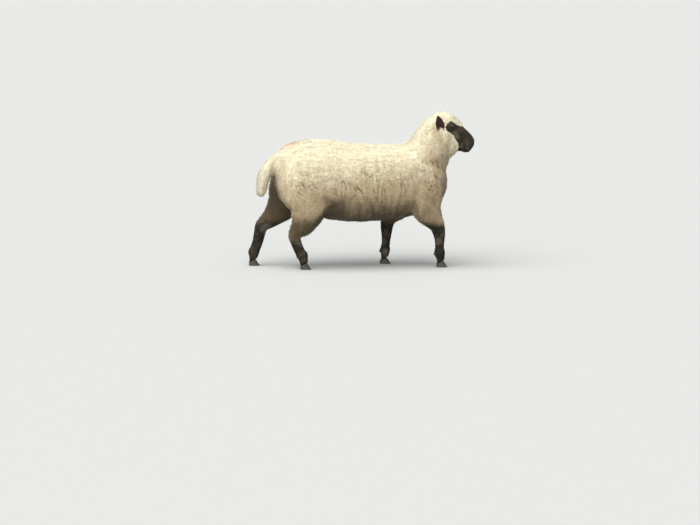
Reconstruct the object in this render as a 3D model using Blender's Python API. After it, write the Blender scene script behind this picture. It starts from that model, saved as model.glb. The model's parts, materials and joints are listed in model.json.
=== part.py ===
"""A life-size, still model of a Down-type ewe in mid stride, in short full fleece.

Frame: metres, +Z up, the ewe faces +X, its right side is -Y, the floor is Z = 0.
Every outer surface is the outline out to the tips of the coat.  The flesh is
modelled as closed lofts that run into each other, joined and blended as one
skin, and then parted into its named pieces by cuts CUT wide.
"""

import math

import bmesh
import bpy
import numpy as np
from mathutils import Matrix, Vector

# ---------------------------------------------------------------- driving sizes
CUT = 0.0005              # width of the cut between two neighbouring pieces
VOXEL = 0.0055            # grain of the joined skin before it is thinned out
BLEND_ROUNDS = 10         # smoothing rounds that blend one loft into the next
FLESH_TRIANGLES = 4700    # triangles of all the flesh together
FREEDOM_WEIGHT = 0.003    # how strongly the face and legs hold on to their points
FACE_FREEDOM = 0.2
LEG_FREEDOM = 0.7

RIGHT, LEFT = -1, 1
SIDE_NAMES = {RIGHT: "right", LEFT: "left"}

HEAD_CENTRE = Vector((0.497, -0.010, 0.760))
HEAD_PITCH = math.radians(35)     # nose down from level
HEAD_YAW = math.radians(-10)      # turned to the ewe's right

EYE_RADIUS = 0.0145
EYE_PLACE = Vector((-0.002, 0.0470, 0.0400))    # along, out to the side, up

EAR_LENGTH = 0.118
EAR_WIDTH = 0.056
EAR_THICKNESS = 0.0055
EAR_BEND = 0.012                                # the tip leans back from the cup
EAR_STEPS = 7                                   # facets along it and across it
EAR_ROOT = Vector((-0.029, 0.083, -0.024))
EAR_REACH = {RIGHT: (-0.60, 0.54, 0.58), LEFT: (-0.52, 0.80, 0.22)}
EAR_FACING = Vector((0.45, 0.85, -0.10))        # where the cup opens

CLAW_TOE, CLAW_HEEL = 0.036, -0.027     # on the ground, from the foot's middle
CLAW_SLOPE = math.radians(56)           # of the front wall
CLAW_TAPER = 0.12                       # narrowing for each metre of height
CLAW_WIDTH = 0.0265
CLAW_HEIGHT = 0.052                     # before the coronet cuts it
CLAW_SPACING = 0.0290
CLAW_STEPS = 3
CORONET_HEIGHT = 0.033
CORONET_SLOPE_DEG = 24
DEWCLAW_RADIUS = 0.0075
DEWCLAW_LENGTH = 0.020
DEWCLAW_ROOT = Vector((-0.020, 0.012, 0.004))   # from the fetlock's middle
DEWCLAW_RUN = Vector((-0.55, 0, -0.83))


# ---------------------------------------------------------------- shared tools
def clear_scene():
    for obj in list(bpy.data.objects):
        bpy.data.objects.remove(obj)


def material(name, colour, roughness):
    made = bpy.data.materials.new(name)
    made.use_nodes = True
    shader = made.node_tree.nodes["Principled BSDF"]
    shader.inputs["Base Color"].default_value = (*colour, 1)
    shader.inputs["Roughness"].default_value = roughness
    return made


def smooth_rows(rows, steps):
    """Catmull-Rom rows of numbers through the given rows, steps to a span."""
    rows = np.array(rows, float)
    padded = np.vstack([2 * rows[0] - rows[1], rows, 2 * rows[-1] - rows[-2]])
    made = []
    for i in range(1, len(padded) - 2):
        before, start, end, after = padded[i - 1 : i + 3]
        for t in np.arange(steps) / steps:
            made.append(
                0.5
                * (
                    2 * start
                    + (end - before) * t
                    + (2 * before - 5 * start + 4 * end - after) * t**2
                    + (3 * start - before - 3 * end + after) * t**3
                )
            )
    made.append(rows[-1])
    return np.array(made)


def skin_rings(bm, rings):
    """Closes a row of equal rings of points into one solid."""
    loops = [[bm.verts.new(p) for p in ring] for ring in rings]
    count = len(loops[0])
    for lower, upper in zip(loops, loops[1:]):
        for i in range(count):
            j = (i + 1) % count
            bm.faces.new((lower[i], lower[j], upper[j], upper[i]))
    bm.faces.new(list(reversed(loops[0])))
    bm.faces.new(loops[-1])


def oval(half_width, up, down, power, count=28):
    """(sideways, upward) points of a rounded outline, fuller as power grows."""
    points = []
    for i in range(count):
        turn = 2 * math.pi * i / count
        across = math.copysign(abs(math.cos(turn)) ** (2 / power), math.cos(turn))
        rise = math.copysign(abs(math.sin(turn)) ** (2 / power), math.sin(turn))
        points.append((half_width * across, (up if rise > 0 else down) * rise))
    return points


def add_solid(name, bm, mat, collection=None):
    bmesh.ops.recalc_face_normals(bm, faces=bm.faces)
    mesh = bpy.data.meshes.new(name)
    bm.to_mesh(mesh)
    bm.free()
    mesh.materials.append(mat)
    mesh.shade_smooth()
    obj = bpy.data.objects.new(name, mesh)
    (collection or bpy.context.scene.collection).objects.link(obj)
    return obj


def evaluated_mesh(obj):
    graph = bpy.context.evaluated_depsgraph_get()
    return bpy.data.meshes.new_from_object(obj.evaluated_get(graph))


def apply_modifiers(obj):
    made = evaluated_mesh(obj)
    obj.modifiers.clear()
    obj.data = made


def boolean(obj, cutter, operation):
    step = obj.modifiers.new(operation.lower(), "BOOLEAN")
    step.operation = operation
    step.object = cutter
    step.solver = "EXACT"
    apply_modifiers(obj)


# ---------------------------------------------------------------- trunk
def trunk(bm):
    """Barrel, rump and chest: height of back and belly, and half width, along X."""
    stations = [
        # x, back, belly, half width, fullness
        (-0.492, 0.590, 0.470, 0.050, 2.0),
        (-0.470, 0.655, 0.400, 0.120, 2.1),
        (-0.425, 0.696, 0.350, 0.168, 2.2),
        (-0.340, 0.719, 0.310, 0.200, 2.3),
        (-0.215, 0.724, 0.276, 0.214, 2.3),
        (-0.080, 0.705, 0.256, 0.224, 2.3),
        (0.050, 0.693, 0.256, 0.222, 2.3),
        (0.170, 0.692, 0.264, 0.208, 2.3),
        (0.270, 0.690, 0.280, 0.190, 2.3),
        (0.350, 0.680, 0.296, 0.174, 2.2),
        (0.420, 0.640, 0.330, 0.146, 2.1),
        (0.468, 0.580, 0.390, 0.100, 2.0),
        (0.486, 0.520, 0.440, 0.040, 2.0),
    ]
    rings = []
    for x, back, belly, half_width, power in smooth_rows(stations, 4):
        middle, half = (back + belly) / 2, (back - belly) / 2
        rings.append(
            [(x, y, middle + z) for y, z in oval(half_width, half, half, power, 36)]
        )
    skin_rings(bm, rings)


def udder(bm):
    """The small bag of a ewe that is out of milk, in two halves, with a teat each."""
    for side in (RIGHT, LEFT):
        for centre, radii in (
            ((-0.300, 0.026, 0.288), (0.058, 0.034, 0.042)),
            ((-0.288, 0.029, 0.250), (0.010, 0.010, 0.022)),
        ):
            place = Matrix.Translation((centre[0], side * centre[1], centre[2]))
            bmesh.ops.create_uvsphere(
                bm,
                u_segments=20,
                v_segments=12,
                radius=1,
                matrix=place @ Matrix.Diagonal((*radii, 1)),
            )


def neck(bm):
    """Thick woolly neck that rises from the shoulders and bends to the right."""
    stations = [
        # x, y, z, pitch in degrees, towards the crest, towards the throat, half width
        (0.230, 0.000, 0.500, 32, 0.150, 0.150, 0.130),
        (0.310, 0.000, 0.560, 42, 0.150, 0.150, 0.150),
        (0.372, -0.001, 0.635, 52, 0.122, 0.140, 0.136),
        (0.412, -0.003, 0.705, 54, 0.119, 0.128, 0.118),
        (0.442, -0.006, 0.765, 48, 0.102, 0.118, 0.104),
        (0.470, -0.009, 0.800, 36, 0.072, 0.100, 0.080),
    ]
    rings = []
    for x, y, z, pitch, crest, throat, half_width in smooth_rows(stations, 4):
        slope = math.radians(pitch)
        crestward = Vector((-math.sin(slope), 0, math.cos(slope)))
        rings.append(
            [
                Vector((x, y + side, z)) + crestward * rise
                for side, rise in oval(half_width, crest, throat, 2.1, 32)
            ]
        )
    skin_rings(bm, rings)


# ---------------------------------------------------------------- head
def head_axes():
    """Head frame: X along to the nose, Y to the ewe's left, Z up from the brow."""
    turn = Matrix.Rotation(HEAD_YAW, 4, "Z") @ Matrix.Rotation(HEAD_PITCH, 4, "Y")
    return Matrix.Translation(HEAD_CENTRE) @ turn


def face(bm, axes):
    """Bare face from poll to lips, in sections square to the head's length."""
    stations = [
        # along, top, bottom, half width, fullness
        (-0.088, 0.030, -0.030, 0.030, 2.0),
        (-0.070, 0.056, -0.066, 0.052, 2.1),
        (-0.030, 0.072, -0.092, 0.060, 2.3),
        (0.010, 0.074, -0.096, 0.058, 2.4),
        (0.045, 0.070, -0.084, 0.050, 2.5),
        (0.080, 0.067, -0.068, 0.042, 2.5),
        (0.112, 0.061, -0.056, 0.0375, 2.5),
        (0.138, 0.053, -0.047, 0.0365, 2.6),
        (0.155, 0.038, -0.040, 0.031, 2.5),
        (0.165, 0.018, -0.024, 0.018, 2.2),
    ]
    rings = []
    for along, top, bottom, half_width, power in smooth_rows(stations, 3):
        middle, half = (top + bottom) / 2, (top - bottom) / 2
        outline = oval(half_width, half, half, power, 32)
        rings.append([axes @ Vector((along, y, middle + z)) for y, z in outline])
    skin_rings(bm, rings)


def ellipsoid(bm, axes, centre, radii, tilt_deg=0.0):
    """A rounded mass; tilt turns it nose-down about the head's side axis."""
    place = (
        axes
        @ Matrix.Translation(centre)
        @ Matrix.Rotation(math.radians(tilt_deg), 4, "Y")
        @ Matrix.Diagonal((*radii, 1))
    )
    bmesh.ops.create_uvsphere(bm, u_segments=24, v_segments=14, radius=1, matrix=place)


def head_masses(bm, axes):
    """The wool on top and below, then on each side wool, brow and lips."""
    cap = (-0.022, 0, 0.058), (0.076, 0.056, 0.034), 0
    poll = (-0.078, 0, 0.020), (0.047, 0.070, 0.054), 0
    throat = (0.010, 0, -0.075), (0.100, 0.062, 0.072), 0
    for centre, radii, tilt in (cap, poll, throat):
        ellipsoid(bm, axes, Vector(centre), radii, tilt)
    cheek = (0.008, 0.033, -0.056), (0.094, 0.047, 0.064), 12
    ear_base = (-0.056, 0.032, -0.020), (0.042, 0.043, 0.062), 0
    temple = (-0.050, 0.032, 0.032), (0.030, 0.030, 0.034), 0
    brow = (0.000, 0.039, 0.048), (0.032, 0.022, 0.019), 8
    lips = (0.135, 0.017, -0.010), (0.026, 0.021, 0.026), 0
    for side in (RIGHT, LEFT):
        for centre, radii, tilt in (cheek, ear_base, temple, brow, lips):
            place = Vector((centre[0], side * centre[1], centre[2]))
            ellipsoid(bm, axes, place, radii, tilt)


# ---------------------------------------------------------------- legs and tail
def limb(bm, stations, count=24):
    """A leg or tail: places with half depth fore and aft, and half width."""
    rows = smooth_rows(stations, 4)
    places = [Vector(row[:3]) for row in rows]
    rings = []
    for i, row in enumerate(rows):
        run = places[min(i + 1, len(rows) - 1)] - places[max(i - 1, 0)]
        run.normalize()
        across = Vector((0, 1, 0))
        fore = across.cross(run).normalized()
        across = run.cross(fore).normalized()
        half_depth, half_width = row[3], row[4]
        rings.append(
            [
                places[i] + across * side + fore * rise
                for side, rise in oval(half_width, half_depth, half_depth, 2.1, count)
            ]
        )
    skin_rings(bm, rings)


HIND_UPPER = {
    RIGHT: [
        # x, distance out, z, half depth, half width
        (-0.350, 0.100, 0.610, 0.105, 0.070),
        (-0.345, 0.110, 0.520, 0.142, 0.102),
        (-0.332, 0.118, 0.430, 0.140, 0.100),
        (-0.318, 0.122, 0.350, 0.112, 0.082),
        (-0.332, 0.122, 0.288, 0.088, 0.064),
        (-0.356, 0.119, 0.242, 0.066, 0.050),
    ],
    LEFT: [
        (-0.355, 0.100, 0.610, 0.105, 0.070),
        (-0.360, 0.110, 0.520, 0.138, 0.102),
        (-0.392, 0.116, 0.430, 0.124, 0.098),
        (-0.428, 0.120, 0.350, 0.100, 0.078),
        (-0.472, 0.120, 0.296, 0.072, 0.060),
        (-0.512, 0.118, 0.260, 0.054, 0.046),
    ],
}
HIND_LOWER = {
    RIGHT: [
        (-0.388, 0.117, 0.208, 0.043, 0.037),
        (-0.391, 0.116, 0.175, 0.035, 0.031),
        (-0.376, 0.115, 0.130, 0.032, 0.028),
        (-0.358, 0.115, 0.092, 0.031, 0.028),
        (-0.349, 0.115, 0.078, 0.035, 0.033),
        (-0.341, 0.115, 0.048, 0.026, 0.028),
        (-0.334, 0.115, 0.012, 0.027, 0.029),
    ],
    LEFT: [
        (-0.551, 0.117, 0.228, 0.042, 0.035),
        (-0.563, 0.116, 0.195, 0.036, 0.031),
        (-0.575, 0.115, 0.140, 0.033, 0.028),
        (-0.591, 0.115, 0.095, 0.031, 0.028),
        (-0.598, 0.115, 0.078, 0.035, 0.033),
        (-0.601, 0.115, 0.048, 0.026, 0.028),
        (-0.600, 0.115, 0.012, 0.027, 0.029),
    ],
}
FORE = {
    RIGHT: [
        (0.330, 0.105, 0.560, 0.090, 0.062),
        (0.340, 0.113, 0.470, 0.108, 0.070),
        (0.345, 0.120, 0.385, 0.104, 0.070),
        (0.362, 0.120, 0.320, 0.084, 0.062),
        (0.396, 0.114, 0.268, 0.060, 0.050),
        (0.420, 0.109, 0.228, 0.044, 0.040),
        (0.430, 0.106, 0.188, 0.037, 0.035),
        (0.433, 0.105, 0.150, 0.030, 0.028),
        (0.433, 0.104, 0.110, 0.028, 0.026),
        (0.433, 0.104, 0.080, 0.034, 0.032),
        (0.439, 0.104, 0.048, 0.025, 0.027),
        (0.442, 0.104, 0.012, 0.026, 0.028),
    ],
    LEFT: [
        (0.325, 0.105, 0.560, 0.090, 0.062),
        (0.322, 0.113, 0.470, 0.104, 0.070),
        (0.292, 0.118, 0.385, 0.096, 0.070),
        (0.236, 0.120, 0.322, 0.074, 0.060),
        (0.182, 0.116, 0.270, 0.052, 0.047),
        (0.165, 0.112, 0.225, 0.040, 0.038),
        (0.162, 0.109, 0.186, 0.034, 0.034),
        (0.160, 0.107, 0.150, 0.029, 0.028),
        (0.156, 0.106, 0.110, 0.026, 0.025),
        (0.153, 0.106, 0.080, 0.032, 0.031),
        (0.152, 0.106, 0.048, 0.024, 0.026),
        (0.150, 0.106, 0.012, 0.025, 0.028),
    ],
}
TAIL = [
    (-0.420, 0.000, 0.655, 0.030, 0.040),
    (-0.468, 0.000, 0.622, 0.036, 0.046),
    (-0.514, 0.000, 0.578, 0.040, 0.050),
    (-0.545, 0.000, 0.530, 0.041, 0.050),
    (-0.558, 0.000, 0.480, 0.038, 0.046),
    (-0.565, 0.000, 0.438, 0.034, 0.042),
    (-0.567, 0.000, 0.413, 0.026, 0.034),
    (-0.568, 0.000, 0.400, 0.013, 0.018),
]


def mirrored(stations, side):
    return [(x, side * out, z, depth, width) for x, out, z, depth, width in stations]


# ---------------------------------------------------------------- one skin
def joined_flesh(mat):
    """All the lofts as one closed skin, blended where they meet and thinned out."""
    bm = bmesh.new()
    axes = head_axes()
    trunk(bm)
    udder(bm)
    neck(bm)
    face(bm, axes)
    head_masses(bm, axes)
    for side in (RIGHT, LEFT):
        limb(bm, mirrored(HIND_UPPER[side] + HIND_LOWER[side], side))
        limb(bm, mirrored(FORE[side], side))
    limb(bm, TAIL)
    flesh = add_solid("flesh", bm, mat)
    remesh = flesh.modifiers.new("join", "REMESH")
    remesh.mode = "VOXEL"
    remesh.voxel_size = VOXEL
    blend = flesh.modifiers.new("blend", "SMOOTH")
    blend.factor = 0.5
    blend.iterations = BLEND_ROUNDS
    apply_modifiers(flesh)
    thin_out(flesh, axes)
    return flesh


def thin_out(flesh, axes):
    """Thins the skin out, least on the face and less on the legs than the body."""
    mesh = flesh.data
    points = np.empty(len(mesh.vertices) * 3)
    mesh.vertices.foreach_get("co", points)
    points = points.reshape(-1, 3)
    to_head = np.array(axes.inverted())
    local = points @ to_head[:3, :3].T + to_head[:3, 3]
    on_face = (local[:, 0] > -0.03) & (np.abs(local[:, 1]) < 0.08)
    on_face &= (points[:, 0] > 0.42) & (points[:, 2] > 0.5)
    on_legs = points[:, 2] < 0.24
    freedom = flesh.vertex_groups.new(name="freedom")
    for amount, chosen in (
        (1.0, ~on_face & ~on_legs),
        (LEG_FREEDOM, on_legs),
        (FACE_FREEDOM, on_face),
    ):
        freedom.add([int(i) for i in np.nonzero(chosen)[0]], amount, "REPLACE")
    thin = flesh.modifiers.new("thin", "DECIMATE")
    thin.ratio = FLESH_TRIANGLES / (2 * len(mesh.polygons))
    thin.vertex_group = freedom.name
    thin.vertex_group_factor = FREEDOM_WEIGHT
    thin.use_collapse_triangulate = True
    apply_modifiers(flesh)
    flesh.vertex_groups.clear()


# ---------------------------------------------------------------- parting cuts
def block(frame, low, high, grow=0.0):
    """A cutting block between two corners of a frame, grown on every side."""
    low = Vector(low) - Vector((grow, grow, grow))
    high = Vector(high) + Vector((grow, grow, grow))
    place = Matrix.Translation((low + high) / 2) @ Matrix.Diagonal((*(high - low), 1))
    bm = bmesh.new()
    bmesh.ops.create_cube(bm, size=1, matrix=frame @ place)
    return add_solid("block", bm, None)


def cut_plane(x, z, tilt_deg):
    """A frame whose X axis leans up from level, square to the cut it places."""
    turn = Matrix.Rotation(-math.radians(tilt_deg), 4, "Y")
    return Matrix.Translation((x, 0, z)) @ turn


def part_off(flesh, name, mat, frame, low, high):
    """Moves what lies inside a block from the flesh into a piece of its own."""
    piece = bpy.data.objects.new(name, flesh.data.copy())
    bpy.context.scene.collection.objects.link(piece)
    for obj, operation, grow in (
        (piece, "INTERSECT", 0.0),
        (flesh, "DIFFERENCE", CUT),
    ):
        cutter = block(frame, low, high, grow)
        boolean(obj, cutter, operation)
        bpy.data.objects.remove(cutter)
    finish(piece, mat)
    return piece


def finish(obj, mat):
    """Gives a whole piece the one material."""
    obj.data.materials.clear()
    obj.data.materials.append(mat)
    for face in obj.data.polygons:
        face.material_index = 0


def leave_room(piece, guest):
    """Cuts a pocket for the guest, CUT wider than it all round."""
    room = bpy.data.objects.new("room", guest.data.copy())
    bpy.context.scene.collection.objects.link(room)
    grow = room.modifiers.new("grow", "DISPLACE")
    grow.strength = CUT
    grow.mid_level = 0.0
    apply_modifiers(room)
    boolean(piece, room, "DIFFERENCE")
    bpy.data.objects.remove(room)


def parted(flesh, mats):
    """Head, neck, tail and legs in turn; what is left is the trunk."""
    level = Matrix.Identity(4)
    cuts = {
        # name: material, frame, the block's low and high corners in that frame
        "head": ("face", cut_plane(0.462, 0.727, 22), (0, -0.20, -0.20), (0.40, 0.20, 0.25)),
        "neck": ("wool", cut_plane(0.370, 0.630, 58), (0, -0.25, -0.30), (0.40, 0.25, 0.30)),
        "tail": ("wool", level, (-0.70, -0.06, 0.37), (-0.503, 0.06, 0.70)),
        "leg_hind_right": (
            "leg",
            cut_plane(-0.335, 0.400, 255),
            (0, -0.30, -0.30),
            (0.6, -0.05, 0.15),
        ),
        "leg_hind_left": (
            "leg",
            cut_plane(-0.390, 0.400, 245),
            (0, 0.05, -0.25),
            (0.6, 0.30, 0.125),
        ),
        "leg_fore_right": ("leg", level, (0.28, -0.22, -0.05), (0.55, -0.04, 0.278)),
        "leg_fore_left": ("leg", level, (0.08, 0.04, -0.05), (0.28, 0.22, 0.258)),
    }
    pieces = {}
    for name, (mat, frame, low, high) in cuts.items():
        pieces[name] = part_off(flesh, name, mats[mat], frame, low, high)
    flesh.name = "trunk"
    finish(flesh, mats["wool"])
    pieces["trunk"] = flesh
    return pieces


# ---------------------------------------------------------------- eyes and ears
def add_eye(head, axes, side, mat):
    bm = bmesh.new()
    place = Vector((EYE_PLACE.x, side * EYE_PLACE.y, EYE_PLACE.z))
    bmesh.ops.create_uvsphere(
        bm,
        u_segments=16,
        v_segments=9,
        radius=EYE_RADIUS,
        matrix=axes @ Matrix.Translation(place) @ Matrix.Rotation(math.pi / 2, 4, "X"),
    )
    eye = add_solid(f"eye_{SIDE_NAMES[side]}", bm, mat)
    leave_room(head, eye)


def ear_section(share):
    """Half width and depth of the cup, at a share of the ear's length."""
    rows = smooth_rows(
        [
            # share, half width, cup depth
            (0.00, 0.34, 0.95),
            (0.16, 0.68, 0.85),
            (0.42, 1.00, 0.62),
            (0.62, 0.92, 0.46),
            (0.80, 0.66, 0.34),
            (0.93, 0.33, 0.24),
            (1.00, 0.07, 0.20),
        ],
        3,
    )
    half = EAR_WIDTH / 2
    width = half * np.interp(share, rows[:, 0], rows[:, 1])
    return width, width * np.interp(share, rows[:, 0], rows[:, 2])


def ear_leaf(axes, side, grow):
    """A cupped leaf, thick along its middle and thin at its edges, grown all round.

    Across the leaf, u runs from edge to edge: its hollow face first, then its back.
    """
    reach = Vector(EAR_REACH[side])
    reach.y *= side
    reach.normalize()
    facing = Vector((EAR_FACING.x, side * EAR_FACING.y, EAR_FACING.z))
    facing = (facing - reach * facing.dot(reach)).normalized()
    across = facing.cross(reach)
    root = Vector((EAR_ROOT.x, side * EAR_ROOT.y, EAR_ROOT.z)) - reach * grow
    rings = []
    for i in range(EAR_STEPS + 1):
        share = i / EAR_STEPS
        width, cup = ear_section(share)
        middle = root + reach * (EAR_LENGTH * share) - facing * (EAR_BEND * share**2)
        outline = []
        for face in (1, -1):
            for j in range(EAR_STEPS + 1):
                u = face * (1 - 2 * j / EAR_STEPS)
                slope = Vector((width, 2 * cup * u)).normalized()
                body = EAR_THICKNESS * (0.16 + 0.34 * (1 - u * u)) + grow
                place = Vector((width * u, cup * (u * u - 0.5)))
                place += Vector((-slope.y, slope.x)) * (face * body)
                if j in (0, EAR_STEPS):
                    place += slope * (u * grow)
                outline.append(axes @ (middle + across * place.x + facing * place.y))
        rings.append(outline)
    bm = bmesh.new()
    skin_rings(bm, rings)
    return bm


def add_ear(pieces, axes, side, mat):
    add_solid(f"ear_{SIDE_NAMES[side]}", ear_leaf(axes, side, 0.0), mat)
    room = add_solid("room", ear_leaf(axes, side, 2 * CUT), mat)
    for neighbour in ("head", "neck"):
        boolean(pieces[neighbour], room, "DIFFERENCE")
    bpy.data.objects.remove(room)


# ---------------------------------------------------------------- feet
def claw_rings():
    """Outline rings of one claw from its sole up: it narrows, and its toe slopes."""
    rings = []
    for i in range(CLAW_STEPS + 1):
        height = CLAW_HEIGHT * i / CLAW_STEPS
        toe = CLAW_TOE - height / math.tan(CLAW_SLOPE)
        heel = CLAW_HEEL + CLAW_TAPER * height
        half_width = CLAW_WIDTH / 2 - CLAW_TAPER / 2 * height
        middle, half = (toe + heel) / 2, (toe - heel) / 2
        outline = oval(half_width, half, half, 2.3, 14)
        rings.append([(middle + along, across, height) for across, along in outline])
    return rings


def add_claws(leg, end, side, foot, mat):
    """Two claws under a leg, parted from it by a plane that is highest at the toe."""
    coronet = cut_plane(foot.x, CORONET_HEIGHT, 90 + CORONET_SLOPE_DEG)
    far, wide = 0.1, 0.06
    below = block(coronet, (-far, foot.y - wide, -far), (0, foot.y + wide, far))
    above = block(coronet, (-CUT, foot.y - wide, -far), (far, foot.y + wide, far))
    boolean(leg, below, "DIFFERENCE")
    for place, outward in (("inner", -1), ("outer", 1)):
        centre = Vector((foot.x, foot.y + side * outward * CLAW_SPACING / 2, 0))
        bm = bmesh.new()
        skin_rings(bm, [[centre + Vector(p) for p in ring] for ring in claw_rings()])
        claw = add_solid(f"claw_{end}_{SIDE_NAMES[side]}_{place}", bm, mat)
        boolean(claw, above, "DIFFERENCE")
        finish(claw, mat)
    for cutter in (below, above):
        bpy.data.objects.remove(cutter)


def add_dewclaws(leg, end, side, fetlock, mat):
    """Two short horn cones low behind the fetlock, rooted in the leg."""
    run = DEWCLAW_RUN.normalized()
    turn = run.to_track_quat("Z", "Y").to_matrix().to_4x4()
    for place, outward in (("inner", -1), ("outer", 1)):
        root = fetlock + Vector((DEWCLAW_ROOT.x, 0, DEWCLAW_ROOT.z))
        root.y += side * outward * DEWCLAW_ROOT.y
        bm = bmesh.new()
        bmesh.ops.create_cone(
            bm,
            cap_ends=True,
            segments=8,
            radius1=DEWCLAW_RADIUS,
            radius2=DEWCLAW_RADIUS / 2,
            depth=DEWCLAW_LENGTH,
            matrix=Matrix.Translation(root + run * (DEWCLAW_LENGTH / 2)) @ turn,
        )
        name = f"dewclaw_{end}_{SIDE_NAMES[side]}_{place}"
        leave_room(leg, add_solid(name, bm, mat))


# ---------------------------------------------------------------- the ewe
clear_scene()
materials = {
    "wool": material("wool", (0.78, 0.70, 0.55), 0.95),
    "face": material("face", (0.035, 0.028, 0.022), 0.80),
    "leg": material("leg", (0.060, 0.045, 0.035), 0.85),
    "horn": material("horn", (0.050, 0.042, 0.035), 0.55),
    "eye": material("eye", (0.120, 0.060, 0.020), 0.10),
}
head_frame = head_axes()
flesh = joined_flesh(materials["wool"])
pieces = parted(flesh, materials)
for side in (RIGHT, LEFT):
    add_eye(pieces["head"], head_frame, side, materials["eye"])
    add_ear(pieces, head_frame, side, materials["face"])
    for end, lower in (("fore", FORE), ("hind", HIND_LOWER)):
        leg = pieces[f"leg_{end}_{SIDE_NAMES[side]}"]
        stations = mirrored(lower[side], side)
        add_claws(leg, end, side, Vector(stations[-1][:3]), materials["horn"])
        add_dewclaws(leg, end, side, Vector(stations[-3][:3]), materials["horn"])
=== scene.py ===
"""Looks of a life-size museum model of a grown black-faced Down-cross ewe in short full fleece.

Metres, +Z up; she faces +X, her right side is -Y, and she stands on the floor at Z = 0.
"""

import json
import math

import bmesh
import bpy
import numpy as np
from mathutils import Matrix, Vector
from mathutils import noise as unevenness
from mathutils.bvhtree import BVHTree

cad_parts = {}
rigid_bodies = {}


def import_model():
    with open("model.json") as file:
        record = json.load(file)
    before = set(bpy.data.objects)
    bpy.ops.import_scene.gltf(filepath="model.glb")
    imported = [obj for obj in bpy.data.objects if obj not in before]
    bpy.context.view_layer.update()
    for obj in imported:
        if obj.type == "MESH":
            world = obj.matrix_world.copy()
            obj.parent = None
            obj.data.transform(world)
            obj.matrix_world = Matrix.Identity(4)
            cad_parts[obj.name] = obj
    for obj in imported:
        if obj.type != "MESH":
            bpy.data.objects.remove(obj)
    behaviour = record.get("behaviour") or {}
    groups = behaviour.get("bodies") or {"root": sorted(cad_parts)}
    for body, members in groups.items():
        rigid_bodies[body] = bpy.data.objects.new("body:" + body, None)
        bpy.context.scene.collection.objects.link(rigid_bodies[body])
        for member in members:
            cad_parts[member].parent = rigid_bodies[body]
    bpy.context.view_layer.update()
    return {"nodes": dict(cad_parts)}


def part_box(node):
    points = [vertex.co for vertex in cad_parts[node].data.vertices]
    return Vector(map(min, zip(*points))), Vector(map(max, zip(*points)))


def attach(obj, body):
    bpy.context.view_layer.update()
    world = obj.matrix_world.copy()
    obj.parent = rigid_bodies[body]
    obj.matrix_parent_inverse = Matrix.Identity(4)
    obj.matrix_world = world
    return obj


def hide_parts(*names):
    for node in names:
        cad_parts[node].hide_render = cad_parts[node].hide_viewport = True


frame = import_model()

# ---------------- camera
# A long lens looks almost square at the ewe's right side, a little from the front
# of broadside and a little above her back.
LENS = 149.1
CAMERA_PLACE = (-2.271, -16.156, 1.934)
CAMERA_DOWN = math.radians(6.69)
CAMERA_TURN = math.radians(7.78)
FAR_CLIP = 500


def new_object(name, data):
    """A new object, put in the scene."""
    made = bpy.data.objects.new(name, data)
    bpy.context.scene.collection.objects.link(made)
    return made


lens = bpy.data.cameras.new("camera")
lens.lens = LENS
lens.clip_end = FAR_CLIP
camera = new_object("camera", lens)
camera.location = CAMERA_PLACE
camera.rotation_euler = (math.pi / 2 - CAMERA_DOWN, 0, -CAMERA_TURN)
bpy.context.scene.camera = camera

# ---------------- studio
# A plain pale floor under an even pale sky, with a wide soft light overhead and a
# weaker one from behind the camera, so that her underside falls into shade.
FLOOR_COLOUR = (0.44, 0.44, 0.42, 1)
FLOOR_ROUGHNESS = 0.9
FLOOR_HALF = 150
SKY_COLOUR = (0.90, 0.94, 1.0, 1)
SKY_STRENGTH = 0.50
SOFT_LIGHTS = {
    # name: place it shines from, strength, spread in degrees
    "overhead": ((-0.36, -0.30, 1.0), 4.4, 70),
    "front": ((-0.25, -1.0, 0.45), 0.90, 60),
}


def finish(name, roughness, sheen=0.0, gloss=0.5):
    """A new material: its node tree and its shader, with the plain numbers set."""
    material = bpy.data.materials.new(name)
    material.use_nodes = True
    shader = material.node_tree.nodes["Principled BSDF"]
    shader.inputs["Roughness"].default_value = roughness
    shader.inputs["Sheen Weight"].default_value = sheen
    shader.inputs["Specular IOR Level"].default_value = gloss
    return material, material.node_tree, shader


bpy.context.scene.view_settings.view_transform = "Standard"
sky = bpy.data.worlds.new("sky")
bpy.context.scene.world = sky
sky.use_nodes = True
backdrop = sky.node_tree.nodes["Background"]
backdrop.inputs["Color"].default_value = SKY_COLOUR
backdrop.inputs["Strength"].default_value = SKY_STRENGTH
for name, (place, strength, spread) in SOFT_LIGHTS.items():
    light = bpy.data.lights.new(name, "SUN")
    light.energy = strength
    light.angle = math.radians(spread)
    lamp = new_object(name, light)
    lamp.rotation_euler = (-Vector(place)).to_track_quat("-Z", "Y").to_euler()

floor_mesh = bpy.data.meshes.new("floor")
corners = [(x * FLOOR_HALF, y * FLOOR_HALF, 0) for x, y in ((-1, -1), (1, -1), (1, 1), (-1, 1))]
floor_mesh.from_pydata(corners, [], [(0, 1, 2, 3)])
floor = new_object("floor", floor_mesh)
floor_paint, tree, shader = finish("floor_paint", FLOOR_ROUGHNESS)
shader.inputs["Base Color"].default_value = FLOOR_COLOUR
floor_mesh.materials.append(floor_paint)

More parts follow.
